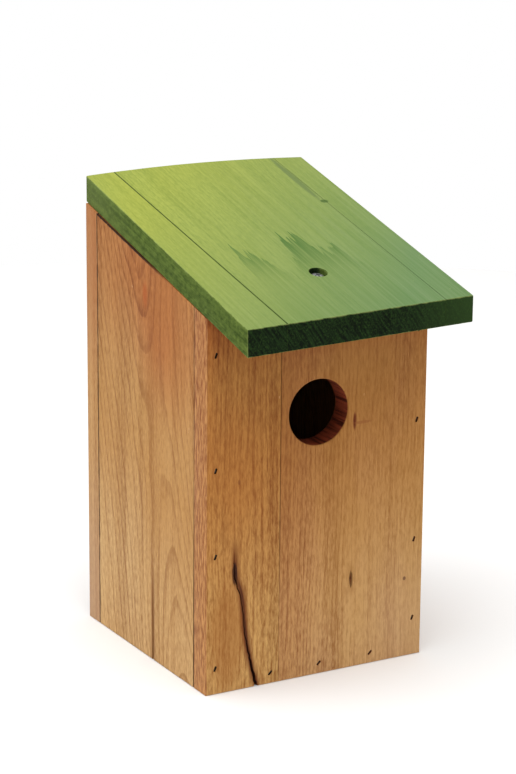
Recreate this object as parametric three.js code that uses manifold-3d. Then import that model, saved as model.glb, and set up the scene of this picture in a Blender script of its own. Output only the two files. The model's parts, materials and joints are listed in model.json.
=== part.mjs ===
// A small wooden nest box: brad-nailed softwood boards, a round entrance hole, and a sloped roof board that
// swivels on one recessed screw driven into the top edge of the front panel. A keyhole plate hangs it.
// Millimetres, +Z up. The origin is the centre of the base, and the front faces -Y.
import * as THREE from "three";
import { mergeVertices } from "three/addons/utils/BufferGeometryUtils.js";
import Module from "manifold-3d";

const wasm = await Module();
wasm.setup();

// Driving dimensions of the box
const bodyWidth = 120; // over the front panel, along X
const bodyDepth = 124; // over the front and back panels, along Y
const frontHeight = 182.5; // of the front panel's outer face
const roofSlope = THREE.MathUtils.degToRad(14.2); // the roof falls towards the front
const wallThickness = 12;
const floorThickness = 12;
const buttGap = 0.3; // between two boards that are nailed together
const glueGap = 0.1; // between two staves of one glued panel
const frontSeamX = -20.5; // the glue line in the front panel
const backSeamX = 24; // the glue line in the back panel

// Driving dimensions of the roof, which is sawn a little out of square and sits a little to the right.
// An overhang is how far the roof passes the wall below it, level, and is negative where it stops short
const roofThickness = 12.5; // square to the slope
const eaves = { left: 37.9, right: 33.2 };
const rearOverhang = { left: 1.3, right: -0.6 };
const leftOverhang = { front: 0.2, rear: -0.95 };
const rightOverhang = { front: 3, rear: 1.85 };
const swivelClearance = 0.3; // between the roof and the walls that it slides over
const leftStaveWidth = { front: 20.9, rear: 14.9 }; // of the glued staves at the roof's two edges
const rightStaveWidth = { front: 15.8, rear: 16.5 };

// The entrance hole, and the screw that the roof swivels on
const entranceDiameter = 32;
const entranceHeight = 131; // of its centre
const screwBehindFront = 4.8; // from the front face to the screw's axis, on the roof's top face
const counterboreDiameter = 8.7;
const counterboreDepth = 3.3;
const roofScrew = { head: 7.2, headHeight: 2.1, headRim: 0.8, shank: 3.5, length: 18, tip: 4 };
const roofScrewCross = { length: 4.2, width: 1, depth: 1.2 };
const screwSeatGap = 0.05; // between the screw's head and the counterbore's floor
const pivotClearance = 0.3; // between the roof and the screw's shank
const pilotClearance = 0.15; // between a screw or brad and the wood that it is driven into

// Brads: steel T-heads, punched a little below the surface
const brad = { length: 30, shank: 1.2, headWidth: 2.3, headHeight: 0.9, gauge: 1.1, taper: 1.6, point: 0.3 };
const bradSetDepth = 0.7; // from the wood's face down to the head
const bradInset = 5; // from the panel's long edges
const bradRise = 5; // of the bottom row, above the base
const leftBradHeights = [12.5, 68, 110, 165];
const rightBradHeights = [19, 59.5, 120, 165];
const bottomBradSpots = [-25, 2, 31];
const uprightBradTurn = THREE.MathUtils.degToRad(20);
const bottomBradTurn = THREE.MathUtils.degToRad(45);

// The hanger on the back
const plate = { width: 20, height: 46, thickness: 1.5, screwSpacing: 34 };
const plateRise = 183; // of the plate's centre
const keyhole = { roundDiameter: 9, slotWidth: 4.6, slotTravel: 9, roundDrop: 4 };
const pocket = { diameter: 16, depth: 7 };
const plateScrew = { head: 6, shank: 3, length: 14, tip: 4, inset: 0.1 };
const plateScrewCross = { length: 3.3, width: 0.8, depth: 0.9 };

const cutPast = 5; // how far a hole's cutter passes the wood that it cuts
const roundSegments = 48;
const smallSegments = 24;
const crownSteps = 4;
const mergeDistance = 1e-4;

// Colours
const finishes = {
  oiledWood: { color: 0xb9824a, roughness: 0.6, metalness: 0 },
  greenStain: { color: 0x87a455, roughness: 0.65, metalness: 0 },
  steel: { color: 0x5d5a55, roughness: 0.45, metalness: 1 },
  zinc: { color: 0xb8babb, roughness: 0.35, metalness: 1 },
};

// What follows from the dimensions
const frontY = -bodyDepth / 2;
const backY = bodyDepth / 2;
const halfWidth = bodyWidth / 2;
const slopeTan = Math.tan(roofSlope);
const roofRise = roofThickness / Math.cos(roofSlope); // the roof's thickness, plumb
const wallTop = (y) => frontHeight + (y - frontY) * slopeTan;
const roofUnderside = (y) => wallTop(y) + swivelClearance / Math.cos(roofSlope);
const roofNormal = new THREE.Vector3(0, -Math.sin(roofSlope), Math.cos(roofSlope));

// Solids: a geometry is turned into a manifold to be cut, and back
function toSolid(geometry) {
  const bare = geometry.index ? geometry.toNonIndexed() : geometry.clone();
  bare.deleteAttribute("normal");
  bare.deleteAttribute("uv");
  const merged = mergeVertices(bare, mergeDistance);
  const vertProperties = new Float32Array(merged.getAttribute("position").array);
  const triVerts = new Uint32Array(merged.index.array);
  return new wasm.Manifold(new wasm.Mesh({ numProp: 3, vertProperties, triVerts }));
}

function toGeometry(solid) {
  const mesh = solid.getMesh();
  const geometry = new THREE.BufferGeometry();
  geometry.setAttribute("position", new THREE.BufferAttribute(new Float32Array(mesh.vertProperties), 3));
  geometry.setIndex(new THREE.BufferAttribute(new Uint32Array(mesh.triVerts), 1));
  geometry.computeVertexNormals();
  return geometry;
}

function cut(geometry, tools) {
  const solid = tools.reduce((left, tool) => left.subtract(toSolid(tool)), toSolid(geometry));
  return toGeometry(solid);
}

const outline = (points) => new THREE.Shape(points.map(([a, b]) => new THREE.Vector2(a, b)));

// A board with a side view in Y and Z that runs along X from x0 to x1
function boardAlongX(sideView, x0, x1) {
  const geometry = new THREE.ExtrudeGeometry(outline(sideView), { depth: x1 - x0, bevelEnabled: false });
  const yzToWorld = new THREE.Matrix4().makeBasis(
    new THREE.Vector3(0, 1, 0),
    new THREE.Vector3(0, 0, 1),
    new THREE.Vector3(1, 0, 0),
  );
  return geometry.applyMatrix4(yzToWorld).translate(x0, 0, 0);
}

// An upright board between two Y values, whose top edge is bevelled to the roof's slope
const uprightSideView = (y0, y1) => [[y0, 0], [y1, 0], [y1, wallTop(y1)], [y0, wallTop(y0)]];

// A round bar from start to end
function bar(start, end, diameter, segments = roundSegments) {
  const span = new THREE.Vector3().subVectors(end, start);
  const geometry = new THREE.CylinderGeometry(diameter / 2, diameter / 2, span.length(), segments);
  const barAxis = new THREE.Vector3(0, 1, 0);
  const turn = new THREE.Quaternion().setFromUnitVectors(barAxis, span.clone().normalize());
  const middle = new THREE.Vector3().addVectors(start, end).multiplyScalar(0.5);
  return geometry.applyQuaternion(turn).translate(middle.x, middle.y, middle.z);
}

// Brads. A brad points along +Y from its head, and is turned about its own length
function bradOutline(grow, headReach) {
  const halfHead = brad.headWidth / 2 + grow;
  const halfShank = brad.shank / 2 + grow;
  const neck = brad.headHeight + grow;
  const halfPoint = brad.point / 2 + grow;
  const end = brad.length + grow;
  return [
    [-halfHead, -headReach],
    [halfHead, -headReach],
    [halfHead, neck],
    [halfShank, neck],
    [halfShank, end - brad.taper],
    [halfPoint, end],
    [-halfPoint, end],
    [-halfShank, end - brad.taper],
    [-halfShank, neck],
    [-halfHead, neck],
  ];
}

function bradShape(grow, headReach) {
  const thickness = brad.gauge + 2 * grow;
  const geometry = new THREE.ExtrudeGeometry(outline(bradOutline(grow, headReach)), {
    depth: thickness,
    bevelEnabled: false,
  });
  geometry.translate(0, 0, -thickness / 2); // head along X, length along Y
  return geometry.rotateY(Math.PI / 2); // head upright, along Z
}

// Each panel's brads: where each one is, and which way its head is turned
function bradSpots() {
  const side = halfWidth - bradInset;
  return [
    ...leftBradHeights.map((z, i) => ({ name: `left_${i + 1}`, x: -side, z, turn: uprightBradTurn })),
    ...rightBradHeights.map((z, i) => ({ name: `right_${i + 1}`, x: side, z, turn: uprightBradTurn })),
    ...bottomBradSpots.map((x, i) => ({ name: `bottom_${i + 1}`, x, z: bradRise, turn: bottomBradTurn })),
  ];
}

// The front panel's brads point along +Y from its face; the back panel's are their mirror in depth
function placeBrad(geometry, spot, facing) {
  geometry.rotateY(spot.turn).translate(0, bradSetDepth, 0);
  if (facing === "back") geometry.rotateZ(Math.PI);
  const faceY = facing === "front" ? frontY : backY;
  return geometry.translate(spot.x, faceY, spot.z);
}

const bradFacings = ["front", "back"];
const bradHoles = bradFacings.flatMap((facing) =>
  bradSpots().map((spot) => placeBrad(bradShape(pilotClearance, bradSetDepth + cutPast), spot, facing)),
);

// The roof screw's axis, from the roof's top face down into the front panel
const screwTopY = frontY + screwBehindFront;
const screwTopX = (rightOverhang.front - leftOverhang.front) / 2; // midway between the roof's front corners
const screwTop = new THREE.Vector3(screwTopX, screwTopY, roofUnderside(screwTopY) + roofRise);
const alongScrew = (depth) => screwTop.clone().addScaledVector(roofNormal, -depth);
const pilotDiameter = roofScrew.shank + 2 * pilotClearance;
const roofScrewHoles = {
  counterbore: bar(alongScrew(-cutPast), alongScrew(counterboreDepth), counterboreDiameter),
  pivot: bar(
    alongScrew(0),
    alongScrew(roofThickness + cutPast),
    roofScrew.shank + 2 * pivotClearance,
    smallSegments,
  ),
  pilot: bar(
    alongScrew(roofThickness - cutPast),
    alongScrew(counterboreDepth + roofScrew.length + pilotClearance),
    pilotDiameter,
    smallSegments,
  ),
};

// A wood screw with a cross recess, turned from its side view, with its head up and its seat at z = 0.
// The side view runs from the tip, round the outside, to the middle of the head's top
function screwGeometry(sideView, headTop, cross) {
  const turned = new THREE.LatheGeometry(sideView.map(([r, z]) => new THREE.Vector2(r, z)), smallSegments);
  turned.rotateX(Math.PI / 2);
  const slot = (x, y) => new THREE.BoxGeometry(x, y, 2 * cross.depth).translate(0, 0, headTop);
  return cut(turned, [slot(cross.length, cross.width), slot(cross.width, cross.length)]);
}

function roofScrewGeometry() {
  const { head, headHeight, headRim, shank, length, tip } = roofScrew;
  const crown = Array.from({ length: crownSteps + 1 }, (_, i) => {
    const angle = (i / crownSteps) * (Math.PI / 2);
    return [(head / 2) * Math.cos(angle), headRim + (headHeight - headRim) * Math.sin(angle)];
  });
  crown[crownSteps][0] = 0;
  const sideView = [[0, -length], [shank / 2, tip - length], [shank / 2, 0], [head / 2, 0], ...crown];
  return screwGeometry(sideView, headHeight, roofScrewCross);
}

function plateScrewGeometry() {
  const { head, shank, length, tip } = plateScrew;
  const cone = (head - shank) / 2;
  const sideView = [[0, -length], [shank / 2, tip - length], [shank / 2, -cone], [head / 2, 0], [0, 0]];
  return screwGeometry(sideView, 0, plateScrewCross);
}

// The hanger plate lies on the back panel. Its two countersunk screws stand above and below the keyhole
const plateFaceY = backY + buttGap + plate.thickness;
const plateScrewRises = [plateRise + plate.screwSpacing / 2, plateRise - plate.screwSpacing / 2];
const plateScrewTopY = plateFaceY - plateScrew.inset;

function plateOutline() {
  const radius = plate.width / 2;
  const straight = plate.height / 2 - radius;
  const shape = new THREE.Shape();
  shape.absarc(0, straight, radius, 0, Math.PI);
  shape.absarc(0, -straight, radius, Math.PI, 2 * Math.PI);
  shape.closePath();
  return shape;
}

function keyholeOutline() {
  const round = keyhole.roundDiameter / 2;
  const slot = keyhole.slotWidth / 2;
  const meet = Math.acos(slot / round);
  const path = new THREE.Path();
  path.absarc(0, -keyhole.roundDrop, round, meet, Math.PI - meet, true);
  path.absarc(0, keyhole.slotTravel - keyhole.roundDrop, slot, Math.PI, 0, true);
  path.closePath();
  return path;
}

function countersink(z, grow) {
  const rim = plateScrew.head / 2 + grow;
  const shank = plateScrew.shank / 2 + grow;
  const bottom = -plateScrew.length - grow;
  const profile = [
    [0, bottom],
    [shank, bottom],
    [shank, shank - rim],
    [rim, 0],
    [rim, cutPast],
    [0, cutPast],
  ];
  const tool = new THREE.LatheGeometry(profile.map(([r, h]) => new THREE.Vector2(r, h)), smallSegments);
  return tool.translate(0, plateScrewTopY, z);
}

const plateScrewHoles = plateScrewRises.map((z) => countersink(z, pilotClearance));

function hangerPlateGeometry() {
  const shape = plateOutline();
  shape.holes.push(keyholeOutline());
  const flat = new THREE.ExtrudeGeometry(shape, {
    depth: plate.thickness,
    bevelEnabled: false,
    curveSegments: smallSegments / 2,
  });
  flat.rotateX(Math.PI / 2).translate(0, plateFaceY, plateRise);
  return cut(flat, plateScrewHoles);
}

// Walls and floor
const innerFrontY = frontY + wallThickness;
const innerBackY = backY - wallThickness;
const frontSideView = uprightSideView(frontY, innerFrontY);
const backSideView = uprightSideView(innerBackY, backY);
const sideSideView = uprightSideView(innerFrontY + buttGap, innerBackY - buttGap);
const entranceHole = bar(
  new THREE.Vector3(0, frontY - cutPast, entranceHeight),
  new THREE.Vector3(0, innerFrontY + cutPast, entranceHeight),
  entranceDiameter,
);
const hangerPocket = bar(
  new THREE.Vector3(0, backY - pocket.depth, plateRise),
  new THREE.Vector3(0, backY + cutPast, plateRise),
  pocket.diameter,
);

function floorGeometry() {
  const halfFloor = halfWidth - wallThickness - buttGap;
  const sideView = [
    [innerFrontY + buttGap, 0],
    [innerBackY - buttGap, 0],
    [innerBackY - buttGap, floorThickness],
    [innerFrontY + buttGap, floorThickness],
  ];
  return cut(boardAlongX(sideView, -halfFloor, halfFloor), bradHoles);
}

const wallBoards = {
  front_panel_narrow_stave: [frontSideView, -halfWidth, frontSeamX - glueGap / 2, bradHoles],
  front_panel_wide_stave: [
    frontSideView,
    frontSeamX + glueGap / 2,
    halfWidth,
    [...bradHoles, entranceHole, roofScrewHoles.pilot],
  ],
  back_panel_wide_stave: [
    backSideView,
    -halfWidth,
    backSeamX - glueGap / 2,
    [...bradHoles, hangerPocket, ...plateScrewHoles],
  ],
  back_panel_narrow_stave: [backSideView, backSeamX + glueGap / 2, halfWidth, bradHoles],
  left_side_board: [sideSideView, -halfWidth, wallThickness - halfWidth, bradHoles],
  right_side_board: [sideSideView, halfWidth - wallThickness, halfWidth, bradHoles],
};

// The roof in plan. Its two ends are straight saw cuts, so their Y follows from X, and a place across it
// is given at both ends as a pair
const roofLeft = { front: -halfWidth - leftOverhang.front, rear: -halfWidth - leftOverhang.rear };
const roofRight = { front: halfWidth + rightOverhang.front, rear: halfWidth + rightOverhang.rear };
const alongCut = (x, left, right, y) => y.left + ((x - left) / (right - left)) * (y.right - y.left);
const nose = { left: frontY - eaves.left, right: frontY - eaves.right };
const tail = { left: backY + rearOverhang.left, right: backY + rearOverhang.right };
const noseY = (x) => alongCut(x, roofLeft.front, roofRight.front, nose);
const tailY = (x) => alongCut(x, roofLeft.rear, roofRight.rear, tail);
const across = (edge, step) => ({ front: edge.front + step.front, rear: edge.rear + step.rear });
const both = (distance) => ({ front: distance, rear: distance });
const leftSeam = across(roofLeft, leftStaveWidth);
const rightSeam = across(roofRight, { front: -rightStaveWidth.front, rear: -rightStaveWidth.rear });

// A stave is given its plumb thickness and then sheared to the slope, so that its ends stay plumb
function roofStaveGeometry(left, right) {
  const plan = outline([
    [left.front, noseY(left.front)],
    [right.front, noseY(right.front)],
    [right.rear, tailY(right.rear)],
    [left.rear, tailY(left.rear)],
  ]);
  const geometry = new THREE.ExtrudeGeometry(plan, { depth: roofRise, bevelEnabled: false });
  const toSlope = new THREE.Matrix4().makeBasis(
    new THREE.Vector3(1, 0, 0),
    new THREE.Vector3(0, 1, slopeTan),
    new THREE.Vector3(0, 0, 1),
  );
  return geometry.applyMatrix4(toSlope).translate(0, 0, roofUnderside(0));
}

const staveInset = both(glueGap / 2);
const staveOutset = both(-glueGap / 2);
const roofStaves = {
  roof_left_stave: roofStaveGeometry(roofLeft, across(leftSeam, staveOutset)),
  roof_middle_stave: cut(
    roofStaveGeometry(across(leftSeam, staveInset), across(rightSeam, staveOutset)),
    [roofScrewHoles.counterbore, roofScrewHoles.pivot],
  ),
  roof_right_stave: roofStaveGeometry(across(rightSeam, staveInset), roofRight),
};

// The assembly
const nestBox = new THREE.Group();
const materials = Object.fromEntries(
  Object.entries(finishes).map(([name, values]) => [name, new THREE.MeshStandardMaterial(values)]),
);

function add(name, geometry, material) {
  const mesh = new THREE.Mesh(geometry, material);
  mesh.name = name;
  nestBox.add(mesh);
  return mesh;
}

for (const [name, [sideView, x0, x1, tools]] of Object.entries(wallBoards)) {
  add(name, cut(boardAlongX(sideView, x0, x1), tools), materials.oiledWood);
}
add("floor_board", floorGeometry(), materials.oiledWood);

for (const [name, geometry] of Object.entries(roofStaves)) {
  add(name, geometry, materials.greenStain);
}

for (const facing of bradFacings) {
  for (const spot of bradSpots()) {
    add(`${facing}_brad_${spot.name}`, placeBrad(bradShape(0, 0), spot, facing), materials.steel);
  }
}

const swivelScrew = add("roof_swivel_screw", roofScrewGeometry(), materials.zinc);
swivelScrew.position.copy(alongScrew(counterboreDepth - screwSeatGap));
swivelScrew.rotation.x = roofSlope;

add("hanger_plate", hangerPlateGeometry(), materials.zinc);
plateScrewRises.forEach((z, i) => {
  const screw = add(`hanger_screw_${["upper", "lower"][i]}`, plateScrewGeometry(), materials.zinc);
  screw.position.set(0, plateScrewTopY, z);
  screw.rotation.x = -Math.PI / 2;
});

export default nestBox;
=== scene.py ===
"""A small wooden nest box: nailed softwood boards, a round entrance hole, and a green roof on one screw.

Metres, +Z up. The front panel faces -Y, and the box stands on z = 0.
"""

import json
import random
from math import atan, cos, pi, radians, sin

import bmesh
import bpy
from mathutils import Matrix, Vector


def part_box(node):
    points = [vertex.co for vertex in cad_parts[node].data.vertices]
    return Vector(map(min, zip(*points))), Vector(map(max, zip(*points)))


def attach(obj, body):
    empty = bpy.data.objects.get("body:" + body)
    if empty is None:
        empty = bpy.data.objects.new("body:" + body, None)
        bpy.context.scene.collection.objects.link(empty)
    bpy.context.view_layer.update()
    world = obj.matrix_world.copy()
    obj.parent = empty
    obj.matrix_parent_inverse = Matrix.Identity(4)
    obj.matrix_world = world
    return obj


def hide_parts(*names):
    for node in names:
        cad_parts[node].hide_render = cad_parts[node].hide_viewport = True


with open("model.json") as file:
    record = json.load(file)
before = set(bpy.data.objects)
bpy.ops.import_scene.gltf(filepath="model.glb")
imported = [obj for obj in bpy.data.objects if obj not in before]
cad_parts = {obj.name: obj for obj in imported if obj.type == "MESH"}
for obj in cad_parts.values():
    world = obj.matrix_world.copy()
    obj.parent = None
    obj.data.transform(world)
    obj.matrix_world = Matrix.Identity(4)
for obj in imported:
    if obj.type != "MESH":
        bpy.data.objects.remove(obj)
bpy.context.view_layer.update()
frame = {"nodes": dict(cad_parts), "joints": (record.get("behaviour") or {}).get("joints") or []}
mm = 0.001

# ----------------------------------------------------------------------
# The studio: a white room with one large soft lamp overhead, a weak one on the left, and a pale floor.
# The camera looks down a little at the left front corner, from about 1.3 metres away.

studio = bpy.context.scene
studio.view_settings.view_transform = "Standard"
studio.world = bpy.data.worlds.new("white room")
studio.world.use_nodes = True
room = studio.world.node_tree
room_light = room.nodes["Background"]
room_light.inputs["Color"].default_value = (1.0, 0.99, 0.97, 1)
room_light.inputs["Strength"].default_value = 0.5
# the lit white paper behind the box, which only the lens sees
paper = room.nodes.new("ShaderNodeBackground")
paper.inputs["Color"].default_value = (1, 1, 1, 1)
seen = room.nodes.new("ShaderNodeLightPath")
either = room.nodes.new("ShaderNodeMixShader")
room.links.new(seen.outputs["Is Camera Ray"], either.inputs[0])
room.links.new(room_light.outputs[0], either.inputs[1])
room.links.new(paper.outputs[0], either.inputs[2])
room.links.new(either.outputs[0], room.nodes["World Output"].inputs["Surface"])

camera_spot = Vector((-0.6132, -1.0757, 0.4690))
camera_turn = radians(29.785)
camera_drop = radians(15.391)
camera_roll = radians(0.475)
camera = bpy.data.objects.new("camera", bpy.data.cameras.new("camera"))
camera.data.sensor_width = 36
camera.data.lens = 122.19
camera.data.clip_end = 20
camera.matrix_world = (
    Matrix.Translation(camera_spot)
    @ Matrix.Rotation(-camera_turn, 4, "Z")
    @ Matrix.Rotation(pi / 2 - camera_drop, 4, "X")
    @ Matrix.Rotation(camera_roll, 4, "Z")
)
studio.collection.objects.link(camera)
studio.camera = camera


def soft_lamp(name, spot, aim, width, watts):
    lamp = bpy.data.objects.new(name, bpy.data.lights.new(name, "AREA"))
    lamp.data.size = width
    lamp.data.energy = watts
    lamp.matrix_world = Matrix.Translation(spot) @ (aim - spot).to_track_quat("-Z", "Y").to_matrix().to_4x4()
    studio.collection.objects.link(lamp)


box_middle = Vector((0, 0, 0.1))
soft_lamp("overhead lamp", Vector((-0.40, -0.40, 2.2)), box_middle, 2.4, 66)
soft_lamp("left lamp", Vector((-2.2, 0.6, 0.9)), box_middle, 1.4, 9)

floor_drop = 0.3 * mm  # keeps the floor's face clear of the box's base
floor_mesh = bmesh.new()
bmesh.ops.create_circle(floor_mesh, cap_ends=True, segments=128, radius=0.85)
bmesh.ops.translate(floor_mesh, vec=(0, 0, -floor_drop), verts=floor_mesh.verts)
studio_floor = bpy.data.objects.new("studio_floor", bpy.data.meshes.new("studio_floor"))
floor_mesh.to_mesh(studio_floor.data)
floor_mesh.free()
studio.collection.objects.link(studio_floor)
floor_finish = bpy.data.materials.new("pale studio floor")
floor_finish.use_nodes = True
floor_shader = floor_finish.node_tree.nodes["Principled BSDF"]
floor_shader.inputs["Base Color"].default_value = (0.86, 0.86, 0.86, 1)
floor_shader.inputs["Roughness"].default_value = 0.8
studio_floor.data.materials.append(floor_finish)

# ----------------------------------------------------------------------
# The front panel: two planed softwood staves, glued edge to edge. The narrow stave has a drying crack that
# starts at a small knot, and the wide one has the entrance hole, a pitch pocket and a few small scratches.
# Eleven brads go through it into the sides and the floor, and its top edge takes the roof screw.

roof_axis = Vector(frame["joints"][0]["axis"])
roof_pivot = Vector(frame["joints"][0]["pos_m"])
slope = -roof_axis.y / roof_axis.z  # rise of the roof for each metre towards the back
past = 5 * mm  # how far a cutter passes the wood that it cuts
roof_gap_closed = 0.2 * mm  # of the clearance that the frame leaves under the roof


def new_piece(name, made, body, smooth_angle=20):
    """Turns a finished bmesh into a piece that rides on a body of the frame."""
    piece = bpy.data.objects.new(name, bpy.data.meshes.new(name))
    bmesh.ops.recalc_face_normals(made, faces=made.faces)
    made.to_mesh(piece.data)
    made.free()
    piece.data.shade_smooth()
    piece.data.set_sharp_from_angle(angle=radians(smooth_angle))
    studio.collection.objects.link(piece)
    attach(piece, body)
    return piece


def block(made, place, size):
    return bmesh.ops.create_cube(made, size=1, matrix=place @ Matrix.Diagonal((*size, 1)))["verts"]


def board(node):
    """A board of its node's size, with its top edge sawn to the slope and close under the roof."""
    low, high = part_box(node)
    made = bmesh.new()
    block(made, Matrix.Translation((low + high) / 2), high - low)
    for corner in made.verts:
        if corner.co.z > (low.z + high.z) / 2:
            corner.co.z = high.z - (high.y - corner.co.y) * slope + roof_gap_closed
    return made


def bevel(made, edges, width, segments):
    bmesh.ops.bevel(
        made, geom=edges, offset=width, offset_type="OFFSET", segments=segments, profile=0.5,
        affect="EDGES", material=-1, clamp_overlap=True,
    )


def ease(made, width, chosen, segments=3):
    """Rounds the edges whose middles pass the test."""
    middles = {edge: (edge.verts[0].co + edge.verts[1].co) / 2 for edge in made.edges}
    bevel(made, [edge for edge, middle in middles.items() if chosen(middle)], width, segments)


def round_cutter(profile, place, segments=96):
    """A turned cutter: radius and height pairs, spun about Z and then placed."""
    made = bmesh.new()
    rim = [made.verts.new((radius, 0, height)) for radius, height in profile]
    edges = [made.edges.new(pair) for pair in zip(rim, rim[1:])]
    bmesh.ops.spin(
        made,
        geom=rim + edges,
        cent=(0, 0, 0),
        axis=(0, 0, 1),
        angle=2 * pi,
        steps=segments,
        use_merge=True,
    )
    bmesh.ops.remove_doubles(made, verts=made.verts, dist=1e-6)
    bmesh.ops.transform(made, matrix=place, verts=made.verts)
    bmesh.ops.recalc_face_normals(made, faces=made.faces)
    return made


def crack_cutter(path, face_y, ragged=0.26 * mm, seed=4):
    """A V-shaped crack into +Y from a face at face_y. Each step has x, z, width and depth in millimetres."""
    chance = random.Random(seed)
    path = [[value * mm for value in stop] for stop in path]
    steps = []
    for start, end in zip(path, path[1:]):
        count = max(1, round(abs(end[1] - start[1]) / (1.6 * mm)))
        steps += [[a + (b - a) * k / count for a, b in zip(start, end)] for k in range(1, count + 1)]
    x, z, width, depth = path[0]
    made = bmesh.new()
    section = Matrix.Translation((x, face_y, z)) @ Matrix.Diagonal((width / 2, depth, 1, 1))
    bmesh.ops.create_circle(made, cap_ends=True, segments=4, radius=1, matrix=section)
    made.faces.ensure_lookup_table()
    first_cap = cap = made.faces[0]
    inner_caps = []
    for next_x, next_z, next_width, next_depth in steps:
        next_x += chance.uniform(-ragged, ragged)
        next_width *= chance.uniform(0.9, 1.1)
        grown = bmesh.ops.extrude_face_region(made, geom=[cap])["geom"]
        if cap != first_cap:
            inner_caps.append(cap)
        cap = next(item for item in grown if isinstance(item, bmesh.types.BMFace))
        tip = [item for item in grown if isinstance(item, bmesh.types.BMVert)]
        bmesh.ops.translate(made, vec=(next_x - x, 0, next_z - z), verts=tip)
        bmesh.ops.scale(
            made,
            vec=(next_width / width, next_depth / depth, 1),
            space=Matrix.Translation((-next_x, -face_y, -next_z)),
            verts=tip,
        )
        x, z, width, depth = next_x, next_z, next_width, next_depth
    bmesh.ops.delete(made, geom=inner_caps, context="FACES_ONLY")
    bmesh.ops.recalc_face_normals(made, faces=made.faces)
    return made


def cut(piece, cutters):
    """Cuts each closed cutter out of the piece."""
    for cutter in cutters:
        tool = bpy.data.objects.new("cutter", bpy.data.meshes.new("cutter"))
        cutter.to_mesh(tool.data)
        cutter.free()
        studio.collection.objects.link(tool)
        step = piece.modifiers.new("cut", "BOOLEAN")
        step.operation = "DIFFERENCE"
        step.solver = "EXACT"
        step.use_self = True
        step.object = tool
        shaped = piece.evaluated_get(bpy.context.evaluated_depsgraph_get())
        uncut = piece.data
        piece.data = bpy.data.meshes.new_from_object(shaped)
        piece.modifiers.clear()
        bpy.data.meshes.remove(uncut)
        bpy.data.meshes.remove(tool.data)
    piece.data.name = piece.name
    piece.data.shade_smooth()
    piece.data.set_sharp_from_angle(angle=radians(20))


class Wire:
    """The output of a shader node. Arithmetic on wires adds one more node each time."""

    def __init__(self, socket):
        self.socket = socket
        self.tree = socket.id_data

    __add__ = lambda self, other: calc("ADD", self, other)
    __sub__ = lambda self, other: calc("SUBTRACT", self, other)
    __mul__ = lambda self, other: calc("MULTIPLY", self, other)
    __truediv__ = lambda self, other: calc("DIVIDE", self, other)
    __rsub__ = lambda self, other: calc("SUBTRACT", other, self)
    __abs__ = lambda self: calc("ABSOLUTE", self)


def wires(node):
    return {output.name: Wire(output) for output in node.outputs if output.enabled}


def step(kind, sockets, tree=None, **settings):
    """Adds a node to the tree of the wires that lead to it, and sets its sockets and its settings."""
    tree = tree or next(value.tree for value in sockets.values() if isinstance(value, Wire))
    made = tree.nodes.new(kind)
    for name, value in settings.items():
        setattr(made, name, value)
    for socket, value in sockets.items():
        if isinstance(value, Wire):
            tree.links.new(value.socket, made.inputs[socket])
        else:
            made.inputs[socket].default_value = tone(value) if isinstance(value, str) else value
    return made


def calc(operation, first, second=0.0):
    """One sum: on vectors where the wire carries a place or a colour, and on numbers elsewhere."""
    wire = first if isinstance(first, Wire) else second
    kind = "ShaderNodeMath" if wire.socket.type == "VALUE" else "ShaderNodeVectorMath"
    return Wire(step(kind, {0: first, 1: second}, operation=operation).outputs[0])


def least(first, *others):
    for other in others:
        first = calc("MINIMUM", first, other)
    return first


def most(first, second):
    return calc("MAXIMUM", first, second)


def clamped(wire):
    """The same sum, held between 0 and 1."""
    wire.socket.node.use_clamp = True
    return wire


def length(wire):
    return Wire(step("ShaderNodeVectorMath", {0: wire}, operation="LENGTH").outputs["Value"])


def split(wire):
    return [Wire(output) for output in step("ShaderNodeSeparateXYZ", {0: wire}).outputs]


def turned_by(wire, rotation, shift=(0, 0, 0)):
    sockets = {"Vector": wire, "Rotation": rotation, "Location": shift}
    return Wire(step("ShaderNodeMapping", sockets).outputs[0])


def tone(code):
    """A colour from its hex code, as the linear values that a node holds."""
    parts = [int(code[k : k + 2], 16) / 255 for k in (1, 3, 5)]
    return (*(p / 12.92 if p <= 0.04045 else ((p + 0.055) / 1.055) ** 2.4 for p in parts), 1)


def blend(share, first, second, mode="MIX"):
    sockets = {0: share, 6: first, 7: second}
    return Wire(step("ShaderNodeMix", sockets, data_type="RGBA", blend_type=mode).outputs[2])


def fade(value, start, end):
    """0 at start and 1 at end, with soft ends."""
    sockets = {0: value, 1: start, 2: end}
    return Wire(step("ShaderNodeMapRange", sockets, interpolation_type="SMOOTHSTEP").outputs[0])


def noise(place, stretch, detail=3.0, roughness=0.55, output=0):
    """Noise with so many patches in a metre along each axis: a number (output 0) or a colour (output 1)."""
    sockets = {"Vector": place * stretch, "Scale": 1.0, "Detail": detail, "Roughness": roughness}
    return Wire(step("ShaderNodeTexNoise", sockets).outputs[output])


def curve(value, points, smooth=True):
    """A value read off a curve through the points, all from 0 to 1."""
    made = step("ShaderNodeFloatCurve", {"Value": value})
    line = made.mapping.curves[0]
    for spot, (x, y) in zip(line.points, (points[0], points[-1])):
        spot.location = (x, y)
    for x, y in points[1:-1]:
        line.points.new(x, y)
    for spot in line.points:
        spot.handle_type = "AUTO_CLAMPED" if smooth else "VECTOR"
    made.mapping.update()
    return Wire(made.outputs[0])


def node_group(name, inputs, outputs):
    """Starts a node group with these sockets, and gives back its input wires and its output node."""
    tree = bpy.data.node_groups.new(name, "ShaderNodeTree")
    for in_out, sockets in (("INPUT", inputs), ("OUTPUT", outputs)):
        for socket, kind in sockets.items():
            socket = socket.replace("_", " ")
            tree.interface.new_socket(socket, in_out=in_out, socket_type="NodeSocket" + kind)
    return wires(tree.nodes.new("NodeGroupInput")), tree.nodes.new("NodeGroupOutput")


def give(end, **values):
    for socket, value in values.items():
        value.tree.links.new(value.socket, end.inputs[socket.replace("_", " ")])


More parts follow.
